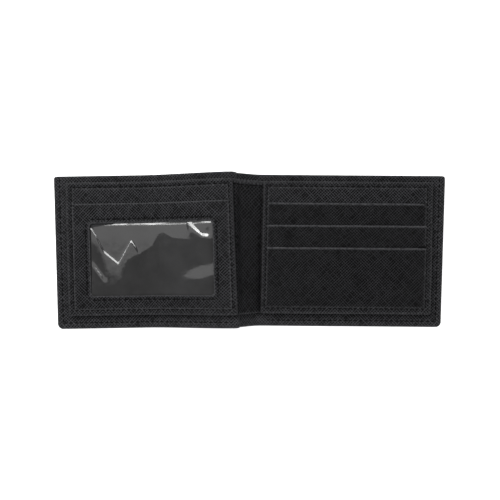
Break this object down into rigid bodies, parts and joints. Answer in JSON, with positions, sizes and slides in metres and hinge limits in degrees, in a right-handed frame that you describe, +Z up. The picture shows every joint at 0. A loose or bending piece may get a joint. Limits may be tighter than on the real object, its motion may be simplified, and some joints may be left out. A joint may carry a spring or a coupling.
{
  "type": "bifold wallet",
  "caption": "Open leather bifold wallet with a clear identity window, stepped card slots, a full-width bill compartment and a folding spine strip.",
  "frame": {"origin": "on the ground under the middle of the opened wallet", "axes": "+X from the identity-window leaf to the card leaf, +Y towards the open top of the bill compartment, +Z up out of the inside"},
  "size_m": [0.2287, 0.089, 0.0166],
  "materials": {
    "cover_leather": "cross-hatched, satin",
    "inner_leather": "cross-hatched, satin",
    "black_textile": "woven, matt",
    "stiff_board": "pressed fibre, matt",
    "black_thread": "twisted thread",
    "clear_sheet": "clear, glossy, slightly wavy"
  },
  "bodies": {
    "right_leaf": {"cover_right": "cover_leather", "top_fold_right": "cover_leather", "hem_side_right": "cover_leather", "hem_bottom_right": "cover_leather", "board_right": "stiff_board", "lining_right": "inner_leather", "bill_seam_side_right": "black_textile", "bill_seam_bottom_right": "black_textile", "divider_right": "inner_leather", "panel_base_right": "black_textile", "rim_top_right": "inner_leather", "rim_side_right": "inner_leather", "rim_bottom_right": "inner_leather", "rim_spine_right": "inner_leather", "top_strip_right": "inner_leather", "pocket_back": "inner_leather", "pocket_middle": "inner_leather", "pocket_front": "inner_leather", "hem_stitches_right": "black_thread", "panel_stitches_right": "black_thread"},
    "spine": {"cover_spine": "cover_leather", "lining_spine": "inner_leather", "divider_spine": "inner_leather", "divider_stitches_spine": "black_thread"},
    "left_leaf": {"cover_left": "cover_leather", "top_fold_left": "cover_leather", "hem_side_left": "cover_leather", "hem_bottom_left": "cover_leather", "board_left": "stiff_board", "lining_left": "inner_leather", "bill_seam_side_left": "black_textile", "bill_seam_bottom_left": "black_textile", "divider_left": "inner_leather", "panel_base_left": "black_textile", "rim_top_left": "inner_leather", "rim_side_left": "inner_leather", "rim_bottom_left": "inner_leather", "rim_spine_left": "inner_leather", "top_strip_left": "inner_leather", "id_window": "clear_sheet", "window_frame": "inner_leather", "hem_stitches_left": "black_thread", "panel_stitches_left": "black_thread", "window_stitches": "black_thread"}
  },
  "joints": [
    {"name": "crease_right", "type": "hinge", "parent": "right_leaf", "child": "spine", "pos_m": [0.00522, 0, 0.0005], "axis": [0, 1, 0], "range_deg": [0, 44]},
    {"name": "crease_left", "type": "hinge", "parent": "spine", "child": "left_leaf", "pos_m": [-0.00576, 0, 0.01187], "axis": [0, 1, 0], "range_deg": [0, 141.9]}
  ]
}
